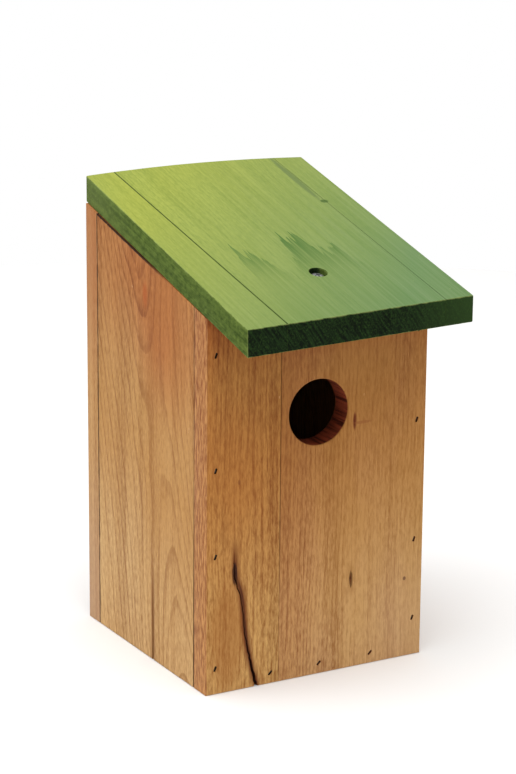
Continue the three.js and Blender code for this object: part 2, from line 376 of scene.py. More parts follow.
def use(group, **values):
    """Adds a node group, and gives back its outputs by name."""
    sockets = {socket.replace("_", " "): value for socket, value in values.items()}
    return wires(step("ShaderNodeGroup", sockets, node_tree=bpy.data.node_groups[group]))


# Solid softwood, whose grain runs along Z: yearly rings round a pith that leans and bends, fibres, and pores
given, result = node_group(
    "softwood",
    {
        "Position": "Vector", "Pith": "Vector", "Lean": "Vector", "Bend": "Float",
        "Ring Width": "Float", "Ring Strength": "Float",
        "Pale": "Color", "Dark": "Color", "Warm": "Color", "Warmth": "Float",
    },
    {"Color": "Color", "Height": "Float", "Fibre": "Float", "Drift": "Float"},
)
place = given["Position"]
from_pith = place - given["Pith"]
rise = split(from_pith)[2]
lean = Wire(step("ShaderNodeVectorMath", {0: given["Lean"], "Scale": rise}, operation="SCALE").outputs[0])
middle_grey = (0.5, 0.5, 0.5)
wander = (noise(place, (26, 26, 7), 2.0, output=1) - middle_grey) * (0.012, 0.012, 0)
ripple = (noise(place, (150, 150, 18), 2.0, output=1) - middle_grey) * (0.0012, 0.0012, 0)
ringed_x, ringed_y = split(from_pith - lean + wander + ripple)[:2]
bent = ringed_y + given["Bend"] * (rise * rise)
year = calc("SQRT", ringed_x * ringed_x + bent * bent) / given["Ring Width"]
late = curve(calc("FRACT", year), [(0, 0.1), (0.45, 0.12), (0.8, 0.75), (0.92, 1), (1, 0.1)])
each_year = step("ShaderNodeTexWhiteNoise", {"W": calc("FLOOR", year)}, noise_dimensions="1D").outputs[0]
late = late * (Wire(each_year) * 0.75 + 0.35)
fibre = noise(place, (600, 600, 9), 5.0, 0.65)
fine = noise(place, (1200, 1200, 260), 3.0, 0.6)
pores = fade(noise(place, (1300, 1300, 34), 2.0), 0.64, 0.74)
streak = noise(place, (120, 120, 3), 3.0, 0.6)
drift = noise(place, (20, 20, 6), 3.0, 0.5)
shade = late * given["Ring Strength"] + (streak - 0.5) * 1.3 + (fibre - 0.5) * 1.3 + (fine - 0.5) * 2.1
wood = blend(clamped(shade + pores * 0.25 + 0.3), given["Pale"], given["Dark"])
wood = blend(fade(drift, 0.35, 0.7) * given["Warmth"], wood, given["Warm"])
height = late * 0.35 + fibre * 0.7 - pores * 0.5
give(result, Color=wood, Height=height, Fibre=fibre, Drift=drift)

# A soft-edged oval mark, such as a knot, a scratch or a stain, with a ragged outline
given, result = node_group(
    "oval mark",
    {"Position": "Vector", "Centre": "Vector", "Size": "Vector", "Softness": "Float"},
    {"Mask": "Float"},
)
away = (given["Position"] - given["Centre"]) / given["Size"]
reach = length(away) + (noise(given["Position"], (900, 900, 160), 2.0) * 0.8 - 0.4)
give(result, Mask=fade(reach, given["Softness"] + 1.0, 1.0))

# How far a place is from a board's faces across it, from those through it, and from its foot. A glued edge
# doesn't count: the 1 at its side stands for a metre more.
given, result = node_group(
    "board edges",
    {"Position": "Vector", "Low": "Vector", "High": "Vector", "Left Glued": "Float", "Right Glued": "Float"},
    {"Across": "Float", "Through": "Float", "Along": "Float"},
)
from_left, from_front, from_foot = split(given["Position"] - given["Low"])
from_right, from_back, from_top = split(given["High"] - given["Position"])
give(
    result,
    Across=least(from_left + given["Left Glued"], from_right + given["Right Glued"]),
    Through=least(from_front, from_back),
    Along=from_foot,
)

# Wear along the arrises: a mask from how near a place is to the two nearest of a board's faces
given, result = node_group(
    "arris wear",
    {"Position": "Vector", "Across": "Float", "Through": "Float", "Along": "Float", "Width": "Float"},
    {"Mask": "Float"},
)
nearest = least(given["Across"], given["Through"])
farther = most(given["Across"], given["Through"])
second = most(nearest, least(farther, given["Along"]))
width = given["Width"] * (noise(given["Position"], (260, 260, 90), 4.0, 0.65) * 3.2 - 0.9)
give(result, Mask=fade(second, width, 0.0))

# Dirt in a joint between two boards, and painted shadow where the roof meets a side board: a dark line with
# a ragged edge
given, result = node_group(
    "joint dirt",
    {"Position": "Vector", "Distance": "Float", "Width": "Float", "Strength": "Float"},
    {"Mask": "Float"},
)
width = given["Width"] * (noise(given["Position"], (420, 420, 130), 3.0, 0.6) * 2.2 - 0.1)
line = fade(abs(given["Distance"]), width, width * 0.35)
give(result, Mask=clamped(line * given["Strength"]))

# The walls of the holes and cracks in a panel, deeper than its outer face and inside its edges: the mask for
# the painted shade in these recesses
given, result = node_group(
    "cut walls",
    {"Position": "Vector", "Low": "Vector", "High": "Vector", "Face": "Float"},
    {"Mask": "Float"},
)
from_left, from_front, from_foot = split(given["Position"] - given["Low"])
from_right, from_back, from_top = split(given["High"] - given["Position"])
depth = abs(split(given["Position"])[1] - given["Face"])
inward = from_front + from_back - depth
within = least(from_left, from_right, from_foot, from_top - from_back * slope, inward)
give(result, Mask=fade(depth, 0.1 * mm, 0.7 * mm) * fade(within, 0.4 * mm, 0.7 * mm))

# Satin oil on planed wood: a little uneven in gloss, with the fibres standing slightly proud
given, result = node_group(
    "satin oil",
    {"Position": "Vector", "Height": "Float", "Shine": "Float", "Depth": "Float"},
    {"Roughness": "Float", "Normal": "Vector"},
)
relief = step("ShaderNodeBump", {"Height": given["Height"], "Distance": given["Depth"], "Strength": 0.8})
gloss = noise(given["Position"], (60, 60, 25)) * 0.22 + (given["Height"] * -0.1 + given["Shine"])
give(result, Roughness=gloss, Normal=Wire(relief.outputs[0]))


def new_material(name, *pieces):
    """A material on each of the pieces: its shader, and the place and the normal in the frame's axes."""
    made = bpy.data.materials.new(name)
    made.use_nodes = True
    for piece in pieces:
        piece.data.materials.clear()
        piece.data.materials.append(made)
    spot = wires(step("ShaderNodeTexCoord", {}, made.node_tree))
    return made.node_tree.nodes["Principled BSDF"], spot["Object"], spot["Normal"]


def finish_wood(shader, colour, height, place, shine=0.55, depth=0.12 * mm, sheen=0.15):
    oiled = use("satin oil", Position=place, Height=height, Shine=shine, Depth=depth)
    give(shader, Base_Color=colour, **oiled)
    shader.inputs["Specular IOR Level"].default_value = sheen


def tinted(mask, colour, tint):
    """The colour with some of its light taken out, as oil and age do."""
    return blend(mask, colour, blend(1.0, colour, (*tint, 1), "MULTIPLY"))


def marked(place, colour, centre, size, softness, shade, strength=1.0):
    mask = use("oval mark", Position=place, Centre=centre, Size=size, Softness=softness)["Mask"]
    return blend(mask * strength, colour, shade)


def dirt_and_shadow(place, colour, distance, width, strength, shade="#2A150B"):
    mask = use("joint dirt", Position=place, Distance=distance, Width=width, Strength=strength)["Mask"]
    return blend(mask, colour, shade)


def worn(place, colour, node, shade, width=0.7 * mm, glued=(0, 0)):
    """The arrises of a node's board rubbed pale, but not its left or right edge where that is glued (1)."""
    low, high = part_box(node)
    edges = use("board edges", Position=place, Low=low, High=high, Left_Glued=glued[0], Right_Glued=glued[1])
    return blend(use("arris wear", Position=place, Width=width, **edges)["Mask"] * 0.6, colour, shade)


# paints shade, in the given colour, onto the walls of a panel's holes and cracks
def painted_cut_shade(place, colour, node, facing, shade):
    low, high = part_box(node)
    mask = use("cut walls", Position=place, Low=low, High=high, Face=low.y if facing < 0 else high.y)["Mask"]
    return blend(mask, colour, shade)


# Brads are set in turned T-shaped slots, each a little torn where the head went in
brad_head = Vector((1.25, 1.6, 2.6)) * mm  # the slot's width, its depth, and its height
brad_shank = Vector((1.4, 31, 1.5)) * mm
brad_turn = radians(20)
bottom_brad_turn = radians(45)


def brad_cutters(node, facing):
    """The slot that a brad's head was punched through, and the channel that its shank made."""
    low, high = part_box(node)
    face = low.y if facing < 0 else high.y
    turn = Matrix.Rotation(-facing * (bottom_brad_turn if "bottom" in node else brad_turn), 4, "Y")
    slot_middle = Vector(((low.x + high.x) / 2, face, (low.z + high.z) / 2))
    shank_middle = slot_middle - Vector((0, facing * (brad_shank.y / 2 - 0.6 * mm), 0))
    slot = bmesh.new()
    corners = block(slot, Matrix.Translation(slot_middle) @ turn, brad_head)
    mouth = [corner for corner in corners if (corner.co.y - face) * facing > 0]
    bmesh.ops.scale(slot, vec=(1.05, 1, 1.08), space=Matrix.Translation(-slot_middle), verts=mouth)
    inward = [edge for edge in slot.edges if abs(edge.verts[0].co.y - edge.verts[1].co.y) > mm]
    bevel(slot, inward, 0.35 * mm, 2)
    channel = bmesh.new()
    block(channel, Matrix.Translation(shank_middle) @ turn, brad_shank)
    return [slot, channel]


def brads_in(board_node, facing):
    """Cutters for each brad that passes through a board, from the front (-1) or the back (1)."""
    low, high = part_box(board_node)
    cutters = []
    for node in sorted(frame["nodes"]):
        brad_low, brad_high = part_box(node)
        passes = all(brad_high[k] > low[k] and brad_low[k] < high[k] for k in range(3))
        if node.startswith(("front_brad_" if facing < 0 else "back_brad_")) and passes:
            cutters += brad_cutters(node, facing)
    return cutters


front_low, front_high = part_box("front_panel_wide_stave")
narrow_low, narrow_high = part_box("front_panel_narrow_stave")
front_face = front_low.y
arris = 0.5 * mm
glued_arris = 0.12 * mm
entrance_radius = 16 * mm
entrance_rise = 131 * mm
entrance_ease = 0.7 * mm
pilot_radius = 1.95 * mm
mark_depth = 4 * mm  # how far a mark goes into the wood


def panel_stave(name, node, facing, open_side, cutters):
    """A stave of the front (-1) or back (1) panel, whose left (-1) or right (1) side is an open edge."""
    low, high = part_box(node)
    open_x, glue_x = (low.x, high.x) if open_side < 0 else (high.x, low.x)
    face = low.y if facing < 0 else high.y
    made = board(node)
    ease(made, arris, lambda spot: abs(spot.x - open_x) < mm and low.z + mm < spot.z < high.z - 8 * mm)
    ease(made, glued_arris, lambda spot: abs(spot.x - glue_x) < mm and abs(spot.y - face) < 0.1 * mm, 1)
    piece = new_piece(name, made, "box")
    cut(piece, [*cutters, *brads_in(node, facing)])
    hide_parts(node)
    return piece


# The narrow stave's crack: a hair's width at the knot, and 2 mm at the panel's foot
crack_path = [
    (-44.9, 68.0, 0.2, 0.3),
    (-45.0, 62.0, 0.8, 0.6),
    (-44.6, 56.7, 1.3, 1.0),
    (-43.2, 51.0, 0.7, 1.0),
    (-41.5, 46.2, 0.55, 1.3),
    (-39.9, 36.0, 0.5, 1.5),
    (-39.0, 26.8, 0.6, 1.8),
    (-36.7, 16.3, 1.0, 2.2),
    (-34.6, 8.0, 1.4, 2.6),
    (-32.4, -2.0, 1.9, 3.2),
]
crack = crack_cutter(crack_path, front_face)
narrow_stave = panel_stave("narrow_front_stave", "front_panel_narrow_stave", -1, -1, [crack])

quarter_turn = (0, pi / 8, pi / 4, 3 * pi / 8, pi / 2)
ease_steps = [(entrance_ease * (1 - sin(turn)), entrance_ease * (1 - cos(turn))) for turn in quarter_turn]
thickness = front_high.y - front_low.y
flare = [(entrance_radius + out, past + back) for out, back in ease_steps]
profile = [(0, 0), (entrance_radius + entrance_ease, 0), *flare]
profile += [(radius, thickness + 2 * past - height) for radius, height in reversed(flare)]
profile += [(entrance_radius + entrance_ease, thickness + 2 * past), (0, thickness + 2 * past)]
hole_place = Matrix.Translation((0, front_face - past, entrance_rise)) @ Matrix.Rotation(-pi / 2, 4, "X")
entrance = round_cutter(profile, hole_place)
pilot = round_cutter(
    [(0, -40 * mm), (pilot_radius, -40 * mm), (pilot_radius, 10 * mm), (0, 10 * mm)],
    Matrix.Translation(roof_pivot) @ roof_axis.to_track_quat("Z", "Y").to_matrix().to_4x4(),
    32,
)
scratch_path = [(20.0, 127, 0.3, 0.2), (19.8, 124, 0.9, 0.5), (20.1, 121, 0.25, 0.2)]
pitch_pocket_path = [(19.5, 48.2, 0.2, 0.2), (19.2, 45.4, 1.3, 0.8), (19.4, 41.6, 0.2, 0.2)]
scratches = [
    crack_cutter(scratch_path, front_face, 0.05 * mm, 7),
    crack_cutter(pitch_pocket_path, front_face, 0.05 * mm, 9),
]
front_cutters = [entrance, pilot, *scratches]
wide_stave = panel_stave("wide_front_stave", "front_panel_wide_stave", -1, 1, front_cutters)


# Darker and more orange towards the front panel's top and its left side: partly deeper oil, partly painted
# shade from the roof's overhang; close under the roof it is all painted shade
given, result = node_group(
    "honeyed oil", {"Position": "Vector", "Color": "Color", "Drift": "Float"}, {"Color": "Color"}
)
x, y, z = split(given["Position"])
upward = z + x * -0.45 + (given["Drift"] * 0.05 - 0.025)
colour = tinted(fade(upward, -0.01, 0.135), given["Color"], (0.78, 0.58, 0.40))
# painted shade under the roof's overhang: redder and darker near the panel's top, and darkest right under
# the roof
colour = tinted(fade(z, 0.150, 0.183), colour, (0.86, 0.62, 0.54))
give(result, Color=tinted(fade(z + x * 0.05, 0.171, 0.183), colour, (0.82, 0.72, 0.68)))


def panel_wood(place, pith, pale, dark, warm, warmth, ring_width):
    """Softwood whose grain stands upright, for the staves of the front and back panels."""
    return use(
        "softwood", Position=place, Pith=pith, Lean=(0.02, 0, 0), Bend=0.0, Ring_Width=ring_width,
        Ring_Strength=0.45, Pale=pale, Dark=dark, Warm=warm, Warmth=warmth,
    )


shader, place, normal = new_material("oiled softwood, narrow front stave", narrow_stave)
wood = panel_wood(place, (-0.115, -0.02, 0.1), "#D2A868", "#91602F", "#BB7D3E", 0.4, 2.4 * mm)
# the group paints the roof overhang's shade onto the stave's upper part, along with the deeper oil
colour = use("honeyed oil", Position=place, Color=wood["Color"], Drift=wood["Drift"])["Color"]
x, y, z = split(place)
# resin has browned the wood along the crack, in a wide pale band and a narrow dark one
crack_x = curve(z / 0.07, [(0, 0.75), (0.23, 0.55), (0.4, 0.44), (0.67, 0.33), (0.84, 0.17), (1, 0.16)])
beside = abs(x - (crack_x * 0.02 - 0.0477))
halo = fade(beside, 3.6 * mm, 0.3 * mm) * fade(z, 80 * mm, 62 * mm)
colour = blend(clamped(halo * (wood["Fibre"] + 0.45)), colour, "#6E3815")
core = fade(beside, 1.1 * mm, 0.6 * mm) * fade(z, 66 * mm, 59 * mm)
colour = blend(clamped(core * (wood["Fibre"] * 1.8 - 0.15)), colour, "#47210F")
for spot_x, spot_z, half_width, half_height, softness, shade, strength in (
    (-0.0447, 0.0580, 0.0011, 0.0044, 0.5, "#35180B", 0.9),  # the small knot that the crack starts at
    (-0.0425, 0.1028, 0.0006, 0.0009, 0.8, "#7A431F", 0.6),  # a pin knot
    (-0.0490, 0.0270, 0.0055, 0.0170, 1.1, "#94571F", 0.5),  # a darker patch beside the crack
):
    centre, size = (spot_x, front_face, spot_z), (half_width, mark_depth, half_height)
    colour = marked(place, colour, centre, size, softness, shade, strength)
colour = dirt_and_shadow(place, colour, x - narrow_high.x, 0.3 * mm, fade(z, 10 * mm, 70 * mm) * 0.35)
colour = worn(place, colour, "front_panel_narrow_stave", "#D9A774", glued=(0, 1))
# the stave's outer edge is end grain torn by the plane, and it is redder
edge_side = fade(x, narrow_low.x + 0.7 * mm, narrow_low.x + 0.1 * mm)
strip_tone = blend(fade(noise(place, (1000, 1000, 150), 4.0, 0.65), 0.38, 0.62), "#C18A54", "#824A28")
colour = blend(edge_side * 0.85, colour, strip_tone)
# painted shade on the crack's walls
colour = painted_cut_shade(place, colour, "front_panel_narrow_stave", -1, "#2A120A")
finish_wood(shader, colour, wood["Height"], place)

shader, place, normal = new_material("oiled softwood, wide front stave", wide_stave)
wood = panel_wood(place, (0.16, 0.01, 0.1), "#CBA06E", "#925F38", "#C0964F", 0.5, 2.1 * mm)
# the group paints the roof overhang's shade onto the stave's upper part, along with the deeper oil
colour = use("honeyed oil", Position=place, Color=wood["Color"], Drift=wood["Drift"])["Color"]
for spot_x, spot_z, half_width, half_height, softness, shade, strength in (
    (0.0193, 0.0449, 0.0008, 0.0036, 0.35, "#2C1607", 1.0),  # the pitch pocket
    (0.0193, 0.0449, 0.0013, 0.0055, 1.0, "#9A6A34", 0.45),  # resin round it
    (0.0199, 0.1240, 0.0006, 0.0028, 0.9, "#7A3E1C", 1.0),  # a scratch up the grain
    (0.0242, 0.1229, 0.0034, 0.0005, 0.9, "#96592F", 0.6),  # and one across it
    (0.0500, 0.0401, 0.0006, 0.0007, 0.7, "#5A3014", 1.0),  # a pin knot
):
    centre, size = (spot_x, front_face, spot_z), (half_width, mark_depth, half_height)
    colour = marked(place, colour, centre, size, softness, shade, strength)
x, y, z = split(place)
pale_corner = fade(x, 10 * mm, 55 * mm) * fade(z, 75 * mm, 15 * mm)
colour = blend(pale_corner * 0.35, colour, "#C7A07A")
beside_glue = fade(x + wood["Drift"] * 0.03, 25 * mm, -6 * mm)
colour = tinted(beside_glue, colour, (0.90, 0.82, 0.70))
colour = dirt_and_shadow(place, colour, x - front_low.x, 0.4 * mm, fade(z, 10 * mm, 70 * mm) * 0.35)
colour = worn(place, colour, "front_panel_wide_stave", "#D9A774", glued=(1, 0))
reamed = fade(noise(place, (620, 25, 620), 4.0, 0.65), 0.40, 0.62)
# painted shade on the walls of the entrance hole, the pilot hole and the scratches, over the streaks along
# the hole
colour = painted_cut_shade(place, colour, "front_panel_wide_stave", -1, blend(reamed, "#8E4028", "#4A1C10"))
finish_wood(shader, colour, wood["Height"], place)

# ----------------------------------------------------------------------
# The side boards: 12 mm softwood between the front and back panels. The left one is flat-sawn, with a flame
# in its grain, and has a drying split that opens towards its foot.

split_path = [(8.3, 49.0, 0.2, 0.8), (8.3, 30.0, 0.7, 3.0), (8.2, 12.0, 1.1, 5.0), (8.2, -2.0, 1.5, 6.0)]


def side_board(name, node, outer):
    low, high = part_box(node)
    made = board(node)
    outside = low.x if outer < 0 else high.x
    ease(made, 0.2 * mm, lambda spot: abs(spot.x - outside) < 0.1 * mm, 2)
    piece = new_piece(name, made, "box")
    cutters = [*brads_in(node, -1), *brads_in(node, 1)]
    if outer < 0:
        drying_split = crack_cutter(split_path, 0, 0.06 * mm, 2)
        facing_left = Matrix.Translation((outside, 0, 0)) @ Matrix.Rotation(-pi / 2, 4, "Z")
        bmesh.ops.transform(drying_split, matrix=facing_left, verts=drying_split.verts)
        cutters.append(drying_split)
    cut(piece, cutters)
    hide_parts(node)
    return piece, outside


# The sides' oil is deeper under the roof, and more amber towards the middle of that band
given, result = node_group(
    "amber under roof", {"Position": "Vector", "Color": "Color", "Drift": "Float"}, {"Color": "Color"}
)
x, y, z = split(given["Position"])
under_roof = z - y * slope + (given["Drift"] * 0.06 - 0.03)
colour = tinted(fade(under_roof, 0.02, 0.11), given["Color"], (0.90, 0.80, 0.65))
middle = fade(abs(y + 6 * mm), 38 * mm, 4 * mm)
amber = fade(under_roof, 0.12, 0.19) * (middle * 0.5 + 0.75)
give(result, Color=tinted(amber, colour, (0.87, 0.62, 0.52)))


def side_wood(place, ring_width, pith, lean, bend, pale, dark, warm):
    wood = use(
        "softwood", Position=turned_by(place, (0, 0, pi / 2)), Pith=pith, Lean=lean, Bend=bend,
        Ring_Width=ring_width, Ring_Strength=0.6, Pale=pale, Dark=dark, Warm=warm, Warmth=0.35,
    )
    colour = use("amber under roof", Position=place, Color=wood["Color"], Drift=wood["Drift"])["Color"]
    return wood, colour


left_low, left_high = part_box("left_side_board")
left_board, left_outside = side_board("left_side", "left_side_board", -1)
shader, place, normal = new_material("oiled softwood, left side", left_board)
wood, colour = side_wood(
    place, 3.6 * mm, (0.0140, -0.031, 0.113), (-0.22, 0, 0), 1.25, "#CAA470", "#93673A", "#B8894C"
)
x, y, z = split(place)
split_halo = fade(abs(y + 8.25 * mm), 2.6 * mm, 0.3 * mm) * fade(z, 62 * mm, 25 * mm)
colour = blend(split_halo * 0.75, colour, "#7B4B22")
stain_spot = (left_outside, -0.001, 0.1815)
colour = marked(place, colour, stain_spot, (mark_depth, 0.0008, 0.002), 3.4, "#A54C1C", 0.62)
colour = worn(place, colour, "left_side_board", "#CFA577", 0.5 * mm)
colour = dirt_and_shadow(place, colour, y - left_high.y, 0.75 * mm, 0.95)
colour = dirt_and_shadow(place, colour, y - left_low.y, 0.4 * mm, fade(z, 110 * mm, 20 * mm) * 0.6 + 0.3)
# a dark line of painted shadow under the roof, where the rear half of the board's outer face meets it
near_face = fade(x, left_outside + 1.2 * mm, left_outside + 0.5 * mm)
from_roof = y * slope + (left_high.z - left_high.y * slope) - z
colour = dirt_and_shadow(place, colour, from_roof, 0.6 * mm, fade(y, -38 * mm, 5 * mm) * near_face)
finish_wood(shader, colour, wood["Height"], place)

right_board, right_outside = side_board("right_side", "right_side_board", 1)
shader, place, normal = new_material("oiled softwood, right side", right_board)
wood, colour = side_wood(
    place, 2.6 * mm, (-0.0220, 0.052, 0.060), (-0.12, 0, 0), -1.4, "#C2965F", "#94643A", "#B98442"
)
knot = (right_outside, 0.020, 0.078)
colour = marked(place, colour, knot, (0.006, 0.0042, 0.0062), 0.5, "#5C3013", 0.9)
colour = marked(place, colour, knot, (0.008, 0.009, 0.016), 1.2, "#9A5E2C", 0.5)
colour = worn(place, colour, "right_side_board", "#CFA577", 0.5 * mm)
finish_wood(shader, colour, wood["Height"], place)

# ----------------------------------------------------------------------
# The back panel: two planed softwood staves, glued edge to edge and nailed over the ends of the sides. The
# wide one has a drilled pocket behind the hanger plate, and the pilot holes of the plate's screws.

back_low, back_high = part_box("back_panel_wide_stave")
plate_low, plate_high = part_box("hanger_plate")
plate_middle = (plate_low + plate_high) / 2
pocket_radius = 8 * mm
pocket_depth = 7 * mm
hanger_screw_radius = 1.65 * mm
facing_back = Matrix.Rotation(pi / 2, 4, "X")

back_cutters = [
    round_cutter(
        [(0, -past), (pocket_radius, -past), (pocket_radius, pocket_depth - mm), (0, pocket_depth)],
        Matrix.Translation((plate_middle.x, back_high.y, plate_middle.z)) @ facing_back,
        64,
    )
]
for node in ("hanger_screw_upper", "hanger_screw_lower"):
    low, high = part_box(node)
    spot = ((low.x + high.x) / 2, back_high.y, (low.z + high.z) / 2)
    depth = back_high.y - low.y + 0.2 * mm
    profile = [(0, -past), (hanger_screw_radius, -past), (hanger_screw_radius, depth), (0, depth)]
    back_cutters.append(round_cutter(profile, Matrix.Translation(spot) @ facing_back, 32))
wide_back = panel_stave("wide_back_stave", "back_panel_wide_stave", 1, -1, back_cutters)
narrow_back = panel_stave("narrow_back_stave", "back_panel_narrow_stave", 1, 1, [])

for piece, node, pith, pale, dark, ring_width, glued in (
    (wide_back, "back_panel_wide_stave", (-0.02, 0.10, 0.09), "#C29966", "#93663B", 2.8 * mm, (0, 1)),
    (narrow_back, "back_panel_narrow_stave", (0.14, 0.03, 0.1), "#BD8E58", "#8C5A31", 2.2 * mm, (1, 0)),
):
    shader, place, normal = new_material("oiled softwood, " + piece.name, piece)
    wood = panel_wood(place, pith, pale, dark, "#B37A3C", 0.4, ring_width)
    x, y, z = split(place)
    aged = fade(z + wood["Drift"] * 0.06, 0.14, 0.225)
    colour = blend(aged * 0.5, wood["Color"], "#A5603A")
    greyed = fade(z + wood["Drift"] * 0.05, 0.13, 0.02)
    colour = blend(greyed * 0.5, colour, "#AE8D75")
    colour = worn(place, colour, node, "#D0A67A", glued=glued)
    colour = dirt_and_shadow(place, colour, y - back_low.y, 0.5 * mm, 0.8)
    # painted shade on the walls of the pocket and the screw holes
    colour = painted_cut_shade(place, colour, node, 1, "#4A2513")
    finish_wood(shader, colour, wood["Height"], place)

# ----------------------------------------------------------------------
# The floor board: 12 mm softwood with its grain across the box. It fits between the four walls, flush with
# their lower ends, and the bottom brads of the front and back panels hold it.

floor_low, floor_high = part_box("floor_board")
made = bmesh.new()
block(made, Matrix.Translation((floor_low + floor_high) / 2), floor_high - floor_low)
ease(made, 0.3 * mm, lambda spot: True, 2)
floor_board = new_piece("floor_of_the_box", made, "box")
cut(floor_board, [*brads_in("floor_board", -1), *brads_in("floor_board", 1)])
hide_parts("floor_board")
shader, place, normal = new_material("oiled softwood, floor", floor_board)
wood = use(
    "softwood", Position=turned_by(place, (0, pi / 2, 0)), Pith=(0.055, 0.02, 0.0), Lean=(0.03, 0.05, 0),
    Bend=0.8, Ring_Width=2.9 * mm, Ring_Strength=0.6, Pale="#C79C68", Dark="#94653A", Warm="#B68145",
    Warmth=0.4,
)
finish_wood(shader, wood["Color"], wood["Height"], place, 0.62)

# ----------------------------------------------------------------------
# The brads: blunt steel T-heads, sheared from a strip and punched below the surface. They are dull, and
# browned where the oil and the wood's acid have reached them.

given, result = node_group(
    "metal wear",
    {"Position": "Vector", "Clean": "Color", "Stained": "Color", "Stain": "Float"},
    {"Color": "Color", "Roughness": "Float", "Normal": "Vector"},
)
blotches = noise(given["Position"], (420, 420, 420), 5.0, 0.65)
scuffs = noise(given["Position"], (2600, 700, 2600), 3.0, 0.6)
stained = fade(blotches, 0.42, 0.66) * given["Stain"]
relief = step("ShaderNodeBump", {"Height": scuffs + blotches * 0.5, "Distance": 0.02 * mm, "Strength": 0.7})
give(
    result, Color=blend(stained, given["Clean"], given["Stained"]),
    Roughness=stained * 0.3 + 0.26 + scuffs * 0.22, Normal=Wire(relief.outputs[0]),
)


def metal(name, pieces, clean, stained, stain):
    shader, place, normal = new_material(name, *pieces)
    surface = use("metal wear", Position=place, Clean=clean, Stained=stained, Stain=stain)
    give(shader, Base_Color=surface["Color"], Roughness=surface["Roughness"], Normal=surface["Normal"])
    shader.inputs["Metallic"].default_value = 1.0


def packed_shape(node):
    """The shape of a node in the frame, with its faces joined where they are level."""
    made = bmesh.new()
    made.from_mesh(frame["nodes"][node].data)
    bmesh.ops.remove_doubles(made, verts=made.verts, dist=1e-6)
    bmesh.ops.dissolve_limit(made, angle_limit=radians(2), verts=made.verts, edges=made.edges)
    return made


brads = []
for node in sorted(node for node in frame["nodes"] if "_brad_" in node):
    made = packed_shape(node)
    ease(made, 0.12 * mm, lambda spot: True, 2)
    brads.append(new_piece(node + "_steel", made, "box"))
    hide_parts(node)
metal("browned brad steel", brads, "#4A443E", "#2B1A10", 0.9)

# ----------------------------------------------------------------------
# The hanger: a stamped, zinc-plated keyhole plate with softened edges, and the two countersunk cross-head
# wood screws that hold it to the back panel. The wall screw's head goes through its round hole.

made = packed_shape("hanger_plate")
sharp = [edge for edge in made.edges if edge.is_manifold and edge.calc_face_angle() > radians(50)]
bevel(made, sharp, 0.18 * mm, 2)
hanger_plate = new_piece("keyhole_plate", made, "box")
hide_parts("hanger_plate")
zinced = [hanger_plate]


def wood_screw(name, node, head_profile, shank_radius, length, cross, place):
    """A turned wood screw: its head and shank with a cross cut into the head, and its rolled thread."""
    core = shank_radius * 0.72  # at the thread's root
    profile = [(0, -length), (core * 0.25, 1.2 * mm - length), (core, 4 * mm - length), (core, -2.5 * mm)]
    profile += [(shank_radius, -2 * mm), *head_profile]
    piece = new_piece(name, round_cutter(profile, place, 48), "box")
    cross_length, cross_width, cross_depth = cross
    top = head_profile[-1][1]
    foot_place = place @ Matrix.Translation((0, 0, top - cross_depth))
    slots = bmesh.new()
    for turn in (0, pi / 2):
        arm_place = place @ Matrix.Translation((0, 0, top)) @ Matrix.Rotation(turn, 4, "Z")
        corners = block(slots, arm_place, (cross_length, cross_width, 2 * cross_depth))
        foot = [corner for corner in corners if (place.inverted() @ corner.co).z < top]
        bmesh.ops.scale(slots, vec=(0.6, 0.6, 0.6), space=foot_place.inverted(), verts=foot)
    cut(piece, [slots])
    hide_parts(node)
    thread = bmesh.new()
    pitch = 1.6 * mm
    turns = int((length - 7 * mm) / pitch)
    start = -2.6 * mm - turns * pitch
    ridge = [(core * 0.9, -0.35 * mm), (shank_radius, 0), (core * 0.9, 0.35 * mm)]
    corners = [thread.verts.new((radius, 0, start + height)) for radius, height in ridge]
    edges = [thread.edges.new((corners[k], corners[(k + 1) % 3])) for k in range(3)]
    thread.faces.new(corners)
    bmesh.ops.spin(
        thread, geom=corners + edges, cent=(0, 0, 0), axis=(0, 0, 1), dvec=(0, 0, pitch / 16),
        angle=2 * pi * turns, steps=16 * turns,
    )
    bmesh.ops.holes_fill(thread, edges=[edge for edge in thread.edges if edge.is_boundary], sides=3)
    bmesh.ops.remove_doubles(thread, verts=thread.verts, dist=1e-7)
    bmesh.ops.transform(thread, matrix=place, verts=thread.verts)
    return [piece, new_piece(name + "_thread", thread, "box", 50)]


zinc_look = ("#B9BBBC", "#7D7C78", 0.6)
hanger_head = 3.0 * mm
hanger_shank = 1.5 * mm
hanger_cross = (3.3 * mm, 0.8 * mm, 0.9 * mm)
for node in ("hanger_screw_upper", "hanger_screw_lower"):
    low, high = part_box(node)
    spot = ((low.x + high.x) / 2, high.y, (low.z + high.z) / 2)
    head = [
        (hanger_shank, hanger_shank - hanger_head),
        (hanger_head - 0.1 * mm, -0.15 * mm),
        (hanger_head - 0.1 * mm, -0.05 * mm),
        (hanger_head - 0.3 * mm, 0),
        (0, 0),
    ]
    zinced += wood_screw(
        node.replace("hanger_screw", "plate_screw"), node, head, hanger_shank, high.y - low.y,
        hanger_cross, Matrix.Translation(spot) @ Matrix.Rotation(-pi / 2, 4, "X"),
    )
metal("zinc plate on the hanger", zinced, *zinc_look)

# ----------------------------------------------------------------------
# The roof: three softwood staves glued edge to edge, sawn a little out of square, with the top cupped
# upwards at the back, and brushed with a green stain. The foot of the slope has soaked up more stain, which
# ran up the fibres in spikes, and the sawn front end has drunk the most.

roof_nodes = ["roof_left_stave", "roof_middle_stave", "roof_right_stave"]
roof_low = Vector([min(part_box(node)[0][k] for node in roof_nodes) for k in range(3)])
roof_high = Vector([max(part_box(node)[1][k] for node in roof_nodes) for k in range(3)])
roof_cup = 1.8 * mm
roof_arris = 0.6 * mm
strips_across = 6
strips_along = 5


